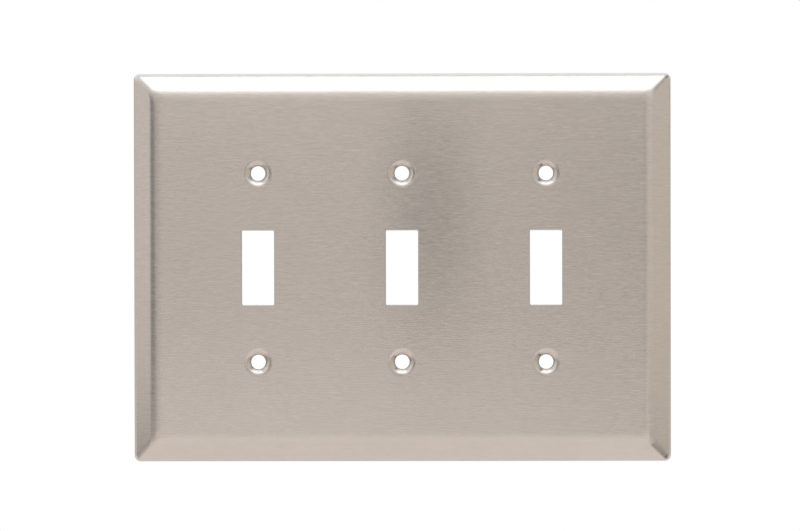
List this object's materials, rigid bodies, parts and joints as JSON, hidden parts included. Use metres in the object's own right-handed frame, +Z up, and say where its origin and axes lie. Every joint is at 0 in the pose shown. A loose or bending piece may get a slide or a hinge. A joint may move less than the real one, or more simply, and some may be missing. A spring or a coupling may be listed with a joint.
{
  "type": "toggle switch wall plate",
  "caption": "Brushed stainless steel wall plate with bevelled sides, toggle openings and dimpled screw holes, covering toggle switches mounted side by side in a wall box.",
  "frame": {"origin": "middle of the plate in the plane of the wall, which is the plane of the rim's cut edge", "axes": "+X to the right across the gangs, +Z up the plate, +Y into the wall; the face looks along -Y"},
  "size_m": [0.1722, 0.0056, 0.1244],
  "materials": {
    "stainless_steel": "brushed along X, satin"
  },
  "bodies": {
    "root": {"wall_plate": "stainless_steel"}
  },
  "joints": []
}
